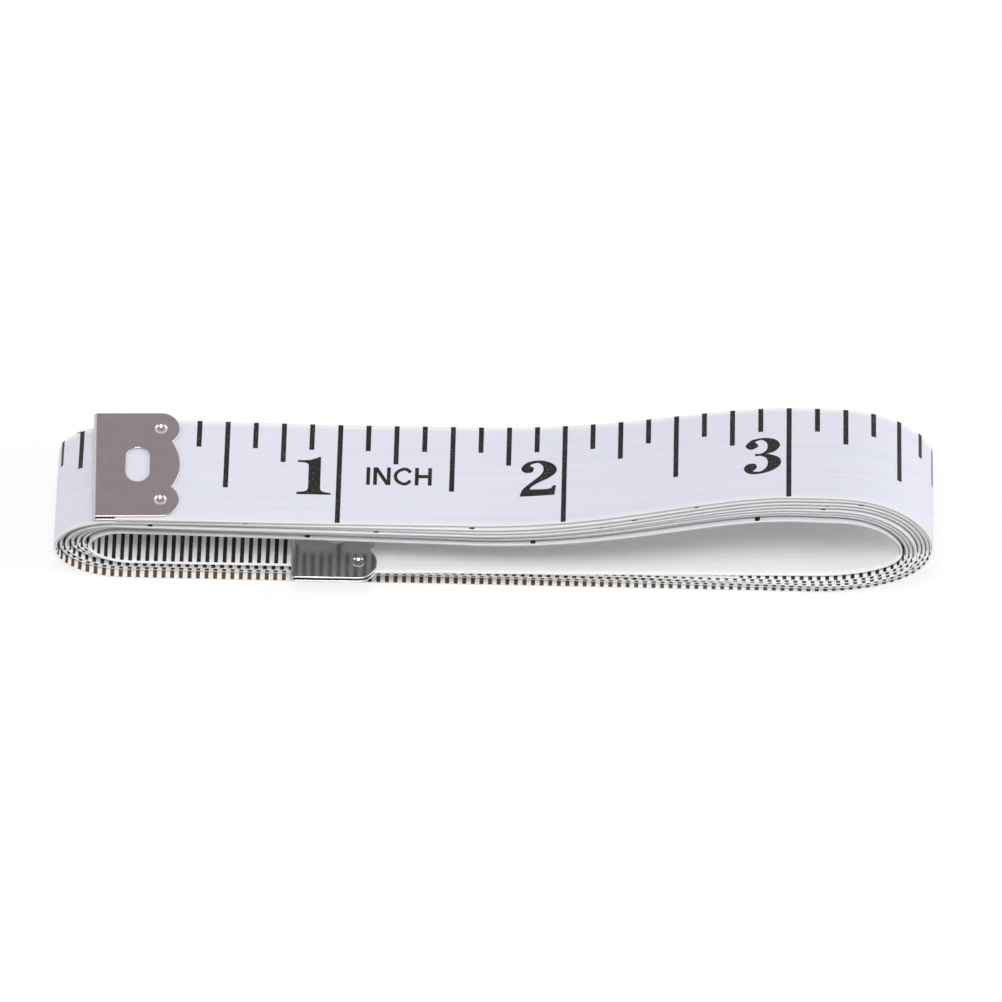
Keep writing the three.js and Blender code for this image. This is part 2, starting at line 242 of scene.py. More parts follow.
# The tape's middle line from its outer end to its inner end, at close steps. The place on it is given as u,
# which counts on along the outermost turn again and again, or as s, the length of tape from the outer end.
path_u = np.arange(outer_end, inner_end + SAMPLE_STEP, SAMPLE_STEP)
path_turn = np.floor(path_u / turn_length)
path_along = path_u - path_turn * turn_length
loop_x, loop_z, path_raised = loop_at(path_u)
before_x, before_z, _ = loop_at(path_u - SAMPLE_STEP / 10)
after_x, after_z, _ = loop_at(path_u + SAMPLE_STEP / 10)
path_heading = np.arctan2(after_z - before_z, after_x - before_x)
inward_x = np.sin(path_heading)
inward_z = -np.cos(path_heading)
passed_turns = path_turn + smooth((path_along - left_bend_at) / (turn_length - left_bend_at))
path_inset = turn_pitch * passed_turns
path_inset += lift_at(inner_end - path_u) - lift_at(path_u - outer_end)
leader_middle = WHOLE_TURNS * turn_length + (right_bend_at + lower_run_at) / 2
path_inset += LEADER_GAP * (1 - smooth(np.abs(path_u - leader_middle) / run_length))

corner_u = []
corner_forward = []
for turn_number in range(WHOLE_TURNS + 1):
    turn_start = turn_number * turn_length
    for corner_at, forward in (
        (0, UPPER_LEFT),
        (right_bend_at / 2, UPPER_MIDDLE),
        (right_bend_at, UPPER_RIGHT),
        (lower_run_at, LOWER_RIGHT),
        ((lower_run_at + left_bend_at) / 2, LOWER_MIDDLE),
        (left_bend_at, LOWER_LEFT),
    ):
        corner_u.append(turn_start + corner_at)
        corner_forward.append(forward[turn_number])
window = int(SETTLE_LENGTH / SAMPLE_STEP)
padded_u = path_u[0] + SAMPLE_STEP * np.arange(-window, len(path_u) + window)
padded_forward = np.interp(padded_u, corner_u, corner_forward)
settled_forward = np.convolve(padded_forward, np.full(window, 1 / window), "same")
path_forward = settled_forward[window:-window]

# The CAD model's origin is the middle of its underside, so the path moves to where its solids are.
clip_low, clip_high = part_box("outer_clip")
_, coil_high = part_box("tape_coil")
shift_x = coil_high.x / MM - LOOP_LENGTH / 2
shift_y = (clip_low.y + clip_high.y) / 2 / MM - OUTER_CLIP_SHIFT
path_x = loop_x + inward_x * path_inset
path_x += LEFT_SLACK * passed_turns * (1 - smooth((path_x + tip_x) / LEFT_SLACK_LENGTH)) + shift_x
path_y = shift_y - path_forward + BACK_SHIFT * path_raised**2
path_drop = BACK_DROP * path_raised - OUTER_END_RISE * (1 - smooth((path_u - outer_end) / RISE_LENGTH))
from_turn_start = np.abs(path_u - np.round(path_u / turn_length) * turn_length)
left_drop = LEFT_BACK_DROP * (1 - smooth(from_turn_start / LEFT_DROP_LENGTH))
path_drop += np.where(path_u > turn_length / 2, left_drop, 0)
path_z = loop_z + inward_z * path_inset - path_drop / 2
path_length = np.concatenate(([0], np.cumsum(np.hypot(np.diff(path_x), np.diff(path_z)))))
along_x = np.gradient(path_x, path_length)
along_z = np.gradient(path_z, path_length)
passed_lower_runs = path_turn + np.clip((path_along - lower_run_at) / run_length, 0, 1)
path_s = path_length + TURN_SLACK * passed_lower_runs
tape_length = path_s[-1]


def place(s, across, height):
    """Points on the tape: across its width counts towards +Y, height from its middle outwards."""
    x = np.interp(s, path_s, path_x) - height * np.interp(s, path_s, along_z)
    y = np.interp(s, path_s, path_y) + across
    z = np.interp(s, path_s, path_z) + height * np.interp(s, path_s, along_x)
    z = z - np.interp(s, path_s, path_drop) * across / TAPE_WIDTH
    return np.column_stack((x, y, z))


def s_at(u):
    return float(np.interp(u, path_u, path_s))


# Colours of the materials, linear.
INK_COLOUR = (0.017, 0.014, 0.013)
BROWNER_INK_COLOUR = (0.09, 0.065, 0.045)
SPECK_COLOUR = (0.15, 0.135, 0.13)
OUTER_FACE_COLOURS = ((0.67, 0.677, 0.775), (0.705, 0.712, 0.79))  # beside the yarn streaks and on them
INNER_FACE_COLOURS = ((0.78, 0.78, 0.785), (0.81, 0.81, 0.81))
SHADED_UPPER_RIM_COLOUR = (0.74, 0.74, 0.755)  # border of both faces at the front edge, on the loop's upper side, darker there as painted shade
LOWER_RIM_COLOUR = (0.9, 0.9, 0.9)
BACK_RIM_COLOUR = (0.86, 0.845, 0.85)
SHADED_EDGE_COLOUR = (0.48, 0.48, 0.49)  # painted shade on the edges on the loop's upper side, below their corner
SEAM_SHADE_COLOUR = (0.16, 0.16, 0.17)  # and darker painted shade where they meet the next turn
CREAM_STRIP_COLOUR = (0.87, 0.81, 0.75)
NICKEL_COLOURS = ((0.543, 0.548, 0.538), (0.577, 0.564, 0.574))

# Patterns of the materials, in repeats for each millimetre of tape or each metre of a clip.
STREAK_SCALE = (0.03, 3.5, 1.0)  # along the tape, across it and through it
STREAK_RANGE = (0.3, 0.7)  # part of a noise over which one thing passes into another
TAPE_CLOUD_SCALE = 0.6
INK_CLOUD_SCALE = 1.5
CLOUD_RANGE = (0.25, 0.75)
SPECK_SCALE = 5.0
SPECK_RANGE = (0.58, 0.74)
GRAIN_SCALE = (150, 4000, 1500)
GRAIN_RANGE = (0.3, 0.7)
NICKEL_CLOUD_SCALE = 700.0
NICKEL_CLOUD_RANGE = (0.35, 0.65)
DENT_SCALE = 180.0

# Their roughness, shine and small heights.
TAPE_ROUGHNESS = (0.4, 0.5)
INK_ROUGHNESS = (0.36, 0.48)
INK_SHINE = 0.25
NICKEL_ROUGHNESS = (0.16, 0.2)
WARP_PITCH = 0.46
WEFT_PITCH = 0.62
WEAVE_HEIGHT = 0.002
GRAIN_HEIGHT = 0.00016
DENT_DEPTH = 200.0  # in heights of the grain

# Where the tape's colours change: two places each, between which one passes into the other.
FACE_HEIGHTS = (-0.1, 0.1)  # from the inner face's colour to the outer face's
RIM_FROM_EDGE = (0.7, 0.05)
EDGE_SHADE_FROM_EDGE = (EDGE_RADIUS, 0.08)
BACK_FROM_MIDDLE = (-1, 1)
EDGE_SHADE_HEIGHTS = (0.06, 0.16)
SEAM_SHADE_HEIGHTS = (-0.16, -0.02)
CREAM_FROM_EDGE = (1, 1.6)
CREAM_FROM_FACE = (0.1, 0.15)
CREAM_FADE = 10  # stretch over which the cream strip ends, after the first turn
INKED_HEIGHTS = (-0.09, -0.05)  # the millimetre lines run over the edge's inner half
INKED_EDGE_FADE = 0.02
INKED_END_FADE = 1
INK_FRINGE = 0.03  # half the width of their soft borders
LOWER_SIDE_FROM = -0.3  # how far the inner face looks up where the loop's lower side starts
LOWER_SIDE_RANGE = 0.5


def new_material(name):
    material = bpy.data.materials.new(name)
    material.use_nodes = True
    shader = material.node_tree.nodes["Principled BSDF"]
    return material, material.node_tree, shader


def add_node(tree, kind, **settings):
    node = tree.nodes.new(kind)
    for key, value in settings.items():
        setattr(node, key, value)
    return node


def math_node(tree, operation, first, second=None):
    node = add_node(tree, "ShaderNodeMath", operation=operation)
    for socket, value in zip(node.inputs, (first, second)):
        if isinstance(value, (int, float)):
            socket.default_value = value
        elif value is not None:
            tree.links.new(value, socket)
    return node.outputs[0]


def product(tree, first, *others):
    for other in others:
        first = math_node(tree, "MULTIPLY", first, other)
    return first


def wave(tree, value, pitch):
    return math_node(tree, "SINE", math_node(tree, "MULTIPLY", value, 2 * math.pi / pitch))


def map_range(tree, value, low, high, to_low=0.0, to_high=1.0):
    """A smooth step from one result to another while a value passes from low to high."""
    node = add_node(tree, "ShaderNodeMapRange", interpolation_type="SMOOTHSTEP")
    tree.links.new(value, node.inputs["Value"])
    for key, number in (("From Min", low), ("From Max", high), ("To Min", to_low), ("To Max", to_high)):
        node.inputs[key].default_value = number
    return node.outputs["Result"]


def fade(tree, value, low, high):
    """A share that is 1 up to low and 0 from high on."""
    return map_range(tree, value, low, high, 1, 0)


def colour_mix(tree, factor, first, second):
    """A colour between two, which are colours or sockets."""
    node = add_node(tree, "ShaderNodeMix", data_type="RGBA")
    tree.links.new(factor, node.inputs[0])
    for socket, value in ((node.inputs[6], first), (node.inputs[7], second)):
        if isinstance(value, tuple):
            socket.default_value = (*value, 1)
        else:
            tree.links.new(value, socket)
    return node.outputs[2]


def noise(tree, vector, scale, detail=2.0):
    node = add_node(tree, "ShaderNodeTexNoise")
    node.inputs["Scale"].default_value = scale
    node.inputs["Detail"].default_value = detail
    tree.links.new(vector, node.inputs["Vector"])
    return node.outputs["Fac"]


def stretched(tree, vector, scale):
    node = add_node(tree, "ShaderNodeMapping")
    node.inputs["Scale"].default_value = scale
    tree.links.new(vector, node.inputs["Vector"])
    return node.outputs["Vector"]


def bump(tree, shader, height, distance):
    node = add_node(tree, "ShaderNodeBump")
    node.inputs["Distance"].default_value = distance * MM
    tree.links.new(height, node.inputs["Height"])
    tree.links.new(node.outputs["Normal"], shader.inputs["Normal"])


def tape_place(tree):
    """A point's place on the tape: as one vector, and as its s, its place across and its height."""
    where = add_node(tree, "ShaderNodeAttribute", attribute_name="tape_place").outputs["Vector"]
    parts = add_node(tree, "ShaderNodeSeparateXYZ")
    tree.links.new(where, parts.inputs[0])
    return where, *parts.outputs


# A cream tint on the outermost turn's inner face near its front edge, with browner ink over it.
def cream_strip(tree, along, across, height):
    """A share from 0 to 1 for the cream strip on the outermost turn's inner face, close to its front edge.
    """
    first_turn = fade(tree, along, turn_length, turn_length + CREAM_FADE)
    front = fade(tree, across, *(distance - TAPE_WIDTH / 2 for distance in CREAM_FROM_EDGE))
    inside = fade(tree, height, *(distance - TAPE_THICKNESS / 2 for distance in CREAM_FROM_FACE))
    return product(tree, first_turn, front, inside)


def inked_edge(tree, along, across, height, lower_side):
    """A share from 0 to 1 for the tape's rounded edge where the millimetre lines run over it."""
    beat = math_node(tree, "FRACT", math_node(tree, "ADD", along, 0.5 - CENTIMETRES_FROM % 1))
    off_beat = math_node(tree, "ABSOLUTE", math_node(tree, "SUBTRACT", beat, 0.5))
    half_line = MILLIMETRE_LINE_WIDTH / 2
    on_line = fade(tree, off_beat, half_line - INK_FRINGE, half_line + INK_FRINGE)
    round_from = EDGE_RADIUS - TAPE_WIDTH / 2
    rounded = fade(tree, across, round_from, round_from + INKED_EDGE_FADE)
    inner_part = fade(tree, height, *INKED_HEIGHTS)
    before_drift = fade(tree, along, DRIFT_FROM, DRIFT_FROM + INKED_END_FADE)
    return product(tree, on_line, rounded, inner_part, before_drift, lower_side)


def tape_material():
    """Satin vinyl over a woven core: yarn streaks, a fine weave, pale borders, and painted shade on the
    loop's upper side, on its borders, its edges and between its turns.
    """
    material, tree, shader = new_material("tape_vinyl")
    where, along, across, height = tape_place(tree)
    lower_side = add_node(tree, "ShaderNodeAttribute", attribute_name="lower_side").outputs["Fac"]
    from_middle = math_node(tree, "ABSOLUTE", across)

    streak = noise(tree, stretched(tree, where, STREAK_SCALE), 1.0, detail=3.0)
    streaky = map_range(tree, streak, *STREAK_RANGE)
    inside = colour_mix(tree, streaky, *INNER_FACE_COLOURS)
    outside = colour_mix(tree, streaky, *OUTER_FACE_COLOURS)
    colour = colour_mix(tree, map_range(tree, height, *FACE_HEIGHTS), inside, outside)

    # Painted shade: the front rim is darker on the loop's upper side than on its lower side.
    front_rim_shaded_above = colour_mix(tree, lower_side, SHADED_UPPER_RIM_COLOUR, LOWER_RIM_COLOUR)
    rim_colour = colour_mix(tree, map_range(tree, across, *BACK_FROM_MIDDLE), front_rim_shaded_above, BACK_RIM_COLOUR)
    rim = map_range(tree, from_middle, *(TAPE_WIDTH / 2 - distance for distance in RIM_FROM_EDGE))
    colour = colour_mix(tree, rim, colour, rim_colour)

    # Painted shade on the loop's upper side: grey on the edges below their corner, darker beside the next
    # turn.
    edge = map_range(tree, from_middle, *(TAPE_WIDTH / 2 - distance for distance in EDGE_SHADE_FROM_EDGE))
    upper_edge = product(tree, edge, math_node(tree, "SUBTRACT", 1.0, lower_side))
    shade_below_corner = product(tree, upper_edge, fade(tree, height, *EDGE_SHADE_HEIGHTS))
    colour = colour_mix(tree, shade_below_corner, colour, SHADED_EDGE_COLOUR)
    shade_beside_seam = product(tree, upper_edge, fade(tree, height, *SEAM_SHADE_HEIGHTS))
    colour = colour_mix(tree, shade_beside_seam, colour, SEAM_SHADE_COLOUR)

    colour = colour_mix(tree, cream_strip(tree, along, across, height), colour, CREAM_STRIP_COLOUR)
    colour = colour_mix(tree, inked_edge(tree, along, across, height, lower_side), colour, INK_COLOUR)
    tree.links.new(colour, shader.inputs["Base Color"])

    cloud = noise(tree, where, TAPE_CLOUD_SCALE)
    tree.links.new(map_range(tree, cloud, *CLOUD_RANGE, *TAPE_ROUGHNESS), shader.inputs["Roughness"])
    weave = product(tree, wave(tree, across, WARP_PITCH), wave(tree, along, WEFT_PITCH))
    bump(tree, shader, math_node(tree, "ADD", weave, streak), WEAVE_HEIGHT)
    return material


def ink_material():
    """Printing ink with tiny paler specks, browner on the cream strip."""
    material, tree, shader = new_material("printed_ink")
    where, along, across, height = tape_place(tree)
    colour = colour_mix(tree, cream_strip(tree, along, across, height), INK_COLOUR, BROWNER_INK_COLOUR)
    speck = noise(tree, where, SPECK_SCALE, detail=1.0)
    colour = colour_mix(tree, map_range(tree, speck, *SPECK_RANGE), colour, SPECK_COLOUR)
    tree.links.new(colour, shader.inputs["Base Color"])
    cloud = noise(tree, where, INK_CLOUD_SCALE)
    tree.links.new(map_range(tree, cloud, *CLOUD_RANGE, *INK_ROUGHNESS), shader.inputs["Roughness"])
    shader.inputs["Specular IOR Level"].default_value = INK_SHINE
    return material


def clip_material():
    """Polished nickel plate, not quite flat, with a faint rolled grain and slight clouds in its colour."""
    material, tree, shader = new_material("clip_nickel")
    metres = add_node(tree, "ShaderNodeTexCoord").outputs["Object"]
    cloud = noise(tree, metres, NICKEL_CLOUD_SCALE)
    colour = colour_mix(tree, map_range(tree, cloud, *NICKEL_CLOUD_RANGE), *NICKEL_COLOURS)
    tree.links.new(colour, shader.inputs["Base Color"])
    grain = noise(tree, stretched(tree, metres, GRAIN_SCALE), 1.0)
    tree.links.new(map_range(tree, grain, *GRAIN_RANGE, *NICKEL_ROUGHNESS), shader.inputs["Roughness"])
    dents = math_node(tree, "MULTIPLY", noise(tree, metres, DENT_SCALE, detail=0.0), DENT_DEPTH)
    bump(tree, shader, math_node(tree, "ADD", grain, dents), GRAIN_HEIGHT)
    shader.inputs["Metallic"].default_value = 1.0
    return material


vinyl = tape_material()
ink = ink_material()
nickel = clip_material()


# Meshes of the tape and its marks.
def add_object(name, points, faces, material, tape_places=None):
    mesh = bpy.data.meshes.new(name)
    mesh.from_pydata((points * MM).tolist(), [], faces)
    mesh.materials.append(material)
    if tape_places is not None:
        attribute = mesh.attributes.new("tape_place", "FLOAT_VECTOR", "POINT")
        attribute.data.foreach_set("vector", tape_places.astype(np.float32).ravel())
    thing = bpy.data.objects.new(name, mesh)
    bpy.context.scene.collection.objects.link(thing)
    return thing


def tape_section():
    """Points round the tape's section, across its width and in height, with rounded edges."""
    points = []
    for corner, (side, face) in enumerate(((1, 1), (-1, 1), (-1, -1), (1, -1))):
        middle = (side * (TAPE_WIDTH / 2 - EDGE_RADIUS), face * (TAPE_THICKNESS / 2 - EDGE_RADIUS))
        rounded = []
        for step in range(EDGE_STEPS + 1):
            angle = (corner + step / EDGE_STEPS) * math.pi / 2
            across = middle[0] + EDGE_RADIUS * math.cos(angle)
            height = middle[1] + EDGE_RADIUS * math.sin(angle)
            rounded.append((across, height))
        flat = (middle[0] - side * FLAT_INSET, face * TAPE_THICKNESS / 2)
        points += [flat, *rounded] if corner % 2 else [*rounded, flat]
    return np.array(points)


def add_band(name, start, end):
    """A stretch of the tape as a closed mesh."""
    section = tape_section()
    count = len(section)
    rings = np.linspace(start, end, round((end - start) / RING_STEP) + 1)
    places = np.column_stack(
        (np.repeat(rings, count), np.tile(section[:, 0], len(rings)), np.tile(section[:, 1], len(rings)))
    )
    faces = []
    for ring in range(len(rings) - 1):
        for i in range(count):
            after = (i + 1) % count
            near, far = ring * count, (ring + 1) * count
            faces.append((near + i, near + after, far + after, far + i))
    last = (len(rings) - 1) * count
    faces.append(tuple(reversed(range(count))))
    faces.append(tuple(range(last, last + count)))
    band = add_object(name, place(*places.T), faces, vinyl, places)
    upward = np.interp(places[:, 0], path_s, inward_z)
    lower_side = band.data.attributes.new("lower_side", "FLOAT", "POINT")
    lower_side.data.foreach_set("value", smooth((upward - LOWER_SIDE_FROM) / LOWER_SIDE_RANGE))
    for face in band.data.polygons[:-2]:
        face.use_smooth = True
    for edge in band.data.edges:
        ends = [corner // count for corner in edge.vertices]
        edge.use_edge_sharp = ends == [0, 0] or ends == [len(rings) - 1, len(rings) - 1]
    return band


# Numerals about five millimetres high, and letters, as outlines on a base line.
LETTER_HEIGHT = 2.2
LETTER_STROKE = 0.4
LETTER_GAP = 0.36
DIGIT_GAP = 0.12
SHOULDER_OUT = 0.78  # where a ring's shoulders are, as shares of its reach sideways and upwards
SHOULDER_UP = 0.68
SHOULDER_SWELL = 0.55  # how far their width has come from thin to thick


def curve_between(before, start, end, after, steps):
    """Points on a smooth curve from one point up to the next one, which is left out."""
    curve = []
    for t in np.arange(steps) / steps:
        bend = (3 * start - 3 * end + after - before) * t**3
        bend += (2 * before - 5 * start + 4 * end - after) * t**2
        curve.append(start + ((end - before) * t + bend) / 2)
    return curve


def stroke(*points):
    """The outline of a pen stroke through points of x, y and width."""
    given = np.array(points, float)
    padded = np.vstack((2 * given[0] - given[1], given, 2 * given[-1] - given[-2]))
    curve = []
    for four in zip(padded, padded[1:], padded[2:], padded[3:]):
        curve += curve_between(*four, STROKE_STEPS)
    curve = np.array([*curve, given[-1]])
    heading = np.gradient(curve[:, :2], axis=0)
    heading /= np.linalg.norm(heading, axis=1)[:, None]
    sideways = np.column_stack((-heading[:, 1], heading[:, 0])) * curve[:, 2:] / 2
    return np.vstack((curve[:, :2] + sideways, (curve[:, :2] - sideways)[::-1]))


def closed_curve(*points):
    """A closed smooth outline; a point given twice is a corner."""
    given = np.array(points, float)
    curve = []
    for four in zip(np.roll(given, 1, 0), given, np.roll(given, -1, 0), np.roll(given, -2, 0)):
        if (four[1] != four[2]).any():
            curve += curve_between(*four, OUTLINE_STEPS)
    return np.array(curve)


def ball(x, y, radius):
    angles = np.linspace(0, 2 * math.pi, ARC_STEPS, endpoint=False)
    return np.column_stack((x + radius * np.cos(angles), y + radius * np.sin(angles)))


def bar(x, y, width, height):
    return np.array(((x, y), (x + width, y), (x + width, y + height), (x, y + height)))


def half_rings(x, y, reach_x, reach_y, thick, thin):
    """A ring in two halves, thick at its sides and thin at its top and foot."""
    top = (x, y + reach_y - thin / 2, thin)
    foot = (x, y - reach_y + thin / 2, thin)
    shoulder_rise = SHOULDER_UP * (reach_y - thin / 2)
    shoulder_width = thin + (thick - thin) * SHOULDER_SWELL
    halves = []
    for side in (-1, 1):
        shoulder_x = x + side * (reach_x - thick / 2) * SHOULDER_OUT
        halves.append(
            stroke(
                top,
                (shoulder_x, y + shoulder_rise, shoulder_width),
                (x + side * (reach_x - thick / 2), y, thick),
                (shoulder_x, y - shoulder_rise, shoulder_width),
                foot,
            )
        )
    return halves


SIX = [
    stroke(
        (3.45, 4.1, 0.4), (2.75, 4.7, 0.36), (1.75, 4.35, 0.75), (0.8, 2.7, 1.5),
        (0.95, 1.2, 1.2), (2.05, 0.2, 0.38),
    ),
    stroke(
        (2.05, 0.2, 0.38), (3.05, 0.7, 0.95), (3.4, 1.6, 1.35), (3.05, 2.5, 0.9), (2.2, 2.92, 0.38),
        (1.2, 2.4, 0.3),
    ),
    ball(3.25, 3.95, 0.6),
]
GLYPHS = {
    "0": half_rings(2.1, 2.45, 2.05, 2.45, 1.42, 0.36),
    "1": [
        np.array(
            (
                (0, 0), (3.84, 0), (3.84, 0.23), (3.13, 0.32), (2.77, 0.49), (2.64, 0.8), (2.62, 4.93),
                (2.43, 4.93), (2.04, 4.75), (1.49, 4.54), (0.94, 4.47), (0.05, 4.45), (0, 4.33), (0.06, 4.2),
                (0.71, 4.19), (1.11, 4.07), (1.27, 3.82), (1.28, 0.9), (1.19, 0.58), (0.88, 0.37), (0, 0.3),
            )
        )
    ],
    "2": [
        closed_curve(
            (0, 0), (0, 0), (0.24, 0.8), (0.75, 1.39), (1.78, 2.27), (2.53, 3.08), (2.57, 3.91), (2.02, 4.4),
            (1.34, 4.26), (1.05, 4.08), (1.05, 4.08), (1.54, 3.72), (1.3, 3.17), (0.47, 3.18), (0.12, 3.72),
            (0.67, 4.42), (1.66, 4.71), (2.85, 4.62), (3.91, 4), (4.11, 3.16), (3.36, 2.4), (2.17, 1.82),
            (1.3, 1.23), (1.13, 0.9), (1.13, 0.9), (3.28, 0.9), (3.74, 1.3), (3.74, 1.3), (4.11, 1.33),
            (4.11, 1.33), (3.93, 0.05), (3.93, 0.05),
        )
    ],
    "3": [
        closed_curve(
            (0.69, 4.54), (0.22, 3.82), (0.81, 3.31), (1.64, 3.78), (1.23, 4.41), (1.23, 4.41), (1.96, 4.67),
            (2.59, 4.18), (2.59, 3.22), (1.96, 2.68), (1.4, 2.68), (1.25, 2.52), (1.4, 2.35), (1.96, 2.35),
            (2.61, 1.88), (2.63, 0.87), (1.96, 0.14), (1.01, 0.18), (1.01, 0.18), (1.48, 0.72), (1.25, 1.28),
            (0.38, 1.18), (0.04, 0.51), (0.69, -0.15), (1.96, -0.2), (3.3, 0.26), (4.13, 1.07), (4.01, 1.99),
            (2.98, 2.52), (2.51, 2.58), (2.51, 2.58), (3.54, 3.01), (4.07, 3.88), (3.5, 4.69), (2.27, 4.94),
            (1.2, 4.79),
        )
    ],
    "4": [
        bar(2.2, 0.25, 1.4, 4.75),
        bar(1.55, 0, 2.7, 0.3),
        bar(0.05, 1.3, 4.2, 0.42),
        stroke((0.25, 1.45, 0.45), (1.3, 2.85, 0.5), (2.45, 4.75, 0.55)),
    ],
    "5": [
        stroke((0.62, 4.55, 0.8), (1.7, 4.42, 0.85), (2.8, 4.45, 0.8), (3.6, 4.8, 0.3)),
        bar(0.6, 2.3, 0.34, 2.3),
        ball(0.78, 1.1, 0.7),
        stroke(
            (0.75, 2.4, 0.3), (1.5, 2.95, 0.42), (2.6, 2.85, 0.9), (3.35, 1.75, 1.5), (2.9, 0.65, 1.05),
            (1.9, 0.2, 0.42), (0.9, 0.34, 0.42), (0.28, 0.95, 0.36),
        ),
    ],
    "6": SIX,
    "7": [
        stroke((0.32, 3.5, 0.3), (0.6, 4.3, 0.75), (1.7, 4.5, 0.85), (2.9, 4.4, 0.75), (3.95, 4.75, 0.36)),
        stroke((3.8, 4.7, 0.4), (2.95, 3.3, 0.75), (2.25, 1.8, 1.25), (2.0, 0.02, 1.5)),
    ],
    "8": [*half_rings(2.1, 3.62, 1.62, 1.28, 1.05, 0.36), *half_rings(2.1, 1.34, 1.98, 1.36, 1.3, 0.36)],
    "9": [np.array((4.18, 4.9)) - part for part in SIX],
    "I": [bar(0, 0, LETTER_STROKE, LETTER_HEIGHT)],
    "N": [
        bar(0, 0, LETTER_STROKE, LETTER_HEIGHT),
        bar(1.45, 0, LETTER_STROKE, LETTER_HEIGHT),
        np.array(((0, LETTER_HEIGHT), (1.38, 0), (1.85, 0), (0.47, LETTER_HEIGHT))),
    ],
    "C": [
        stroke(
            (1.8, 1.6, 0.37), (1.5, 1.93, 0.37), (1.05, 2.03, 0.37), (0.4, 1.66, 0.37), (0.2, 1.1, 0.37),
            (0.4, 0.54, 0.37), (1.05, 0.17, 0.37), (1.5, 0.27, 0.37), (1.8, 0.6, 0.37),
        )
    ],
    "H": [
        bar(0, 0, LETTER_STROKE, LETTER_HEIGHT),
        bar(1.4, 0, LETTER_STROKE, LETTER_HEIGHT),
        bar(0.2, 0.92, 1.4, LETTER_STROKE),
    ],
}


def prism(outlines):
    """Closed prisms over outlines, from height 0 to about 1, cut at close steps so that they can bend.

    Each is a little higher than the one before, so that no two tops lie in one plane where they overlap.
    """
    shape = bmesh.new()
    for number, outline in enumerate(outlines):
        x, y = outline.T
        if np.sum(x * np.roll(y, -1) - y * np.roll(x, -1)) < 0:
            outline = outline[::-1]
        foot = [shape.verts.new((*point, 0)) for point in outline]
        top = [shape.verts.new((*point, 1 + OVERLAP_STEP * number)) for point in outline]
        shape.faces.new(foot[::-1])
        shape.faces.new(top)
        for i in range(len(foot)):
            shape.faces.new((foot[i - 1], foot[i], top[i], top[i - 1]))
    every_x = [vert.co.x for vert in shape.verts]
    for cut in np.arange(min(every_x) + RING_STEP, max(every_x), RING_STEP):
        everything = [*shape.verts, *shape.edges, *shape.faces]
        bmesh.ops.bisect_plane(shape, geom=everything, plane_co=(cut, 0, 0), plane_no=(1, 0, 0))
    bmesh.ops.triangulate(shape, faces=shape.faces)
    shape.verts.index_update()
    points = np.array([vert.co for vert in shape.verts])
    faces = np.array([[vert.index for vert in face.verts] for face in shape.faces])
    shape.free()
    return points, faces


glyph_prisms = {character: prism(outlines) for character, outlines in GLYPHS.items()}
line_prism = prism([bar(-0.5, 0, 1, 1)])


class Marks:
    """Printed marks, gathered as points on the tape and triangles."""

    def __init__(self):
        self.places = []
        self.faces = []

    def add(self, shape, face_side, s, from_edge, scale):
        """A prism on the outer (1) or inner (-1) face, its origin at s and so far from the scale's edge."""
        points, faces = shape
        across = face_side * (TAPE_WIDTH / 2 - from_edge + points[:, 1] * scale[1])
        height = face_side * (TAPE_THICKNESS / 2 - INK_SUNK + points[:, 2] * (INK_SUNK + INK_HEIGHT))
        self.places.append(np.column_stack((s + points[:, 0] * scale[0], across, height)))
        self.faces.append(faces)

    def add_line(self, face_side, s, start, end, width):
        self.add(line_prism, face_side, s, end, (width, end - start))

    def add_text(self, text, face_side, s, from_edge, gap, scale=1.0, ends_at_s=True):
        widths = [np.ptp(glyph_prisms[c][0][:, 0]) * scale for c in text]
        at = s
        if ends_at_s:
            at -= sum(widths) + gap * (len(text) - 1)
        for character, width in zip(text, widths):
            left = glyph_prisms[character][0][:, 0].min() * scale
            self.add(glyph_prisms[character], face_side, at - left, from_edge, (scale, scale))
            at += width + gap


# A number is only printed where its face can be seen: round the outside, inside the loop, and where the
# outer end lifts.
inch_numbers_to = s_at(turn_length) + OUTER_NUMBERS_PAST
centimetre_numbers_from = s_at((WHOLE_TURNS - 1) * turn_length) + INNER_NUMBERS_PAST

marks = Marks()
for eighth in range(1, LAST_INCH * 8 + 1):
    s = eighth * INCH / 8
    if eighth % 8:
        marks.add_line(1, s, 0, INCH_TICKS[math.gcd(eighth, 8)], INCH_LINE_WIDTH)
        continue
    marks.add_line(1, s, 0, TAPE_WIDTH - INCH_LINE_MARGIN, INCH_LINE_WIDTH)
    if s < inch_numbers_to:
        marks.add_text(str(eighth // 8), 1, s - NUMBER_GAP, INCH_NUMBER_BASE, DIGIT_GAP)
marks.add_text("INCH", 1, INCH + WORD_AFTER_LINE, WORD_BASE, LETTER_GAP, WORD_SCALE, ends_at_s=False)
for millimetre in range(1, LAST_CENTIMETRE * 10 + 1):
    drifted = smooth((millimetre - DRIFT_FROM) / (DRIFT_TO - DRIFT_FROM))
    margin = EDGE_RADIUS + (EDGE_MARGIN - EDGE_RADIUS) * drifted
    s = CENTIMETRES_FROM + millimetre
    if millimetre % 10:
        tick = MILLIMETRE_TICK if millimetre % 5 else FIVE_MILLIMETRE_TICK
        marks.add_line(-1, s, margin, tick, MILLIMETRE_LINE_WIDTH)
        continue
    marks.add_line(-1, s, margin, TAPE_WIDTH - EDGE_MARGIN, MILLIMETRE_LINE_WIDTH)
    if s > centimetre_numbers_from or s < LIFTED_LENGTH:
        number = str(millimetre // 10)
        base = CENTIMETRE_NUMBER_BASE
        marks.add_text(number, -1, s - NUMBER_GAP, base, DIGIT_GAP, CENTIMETRE_NUMBER_SCALE)


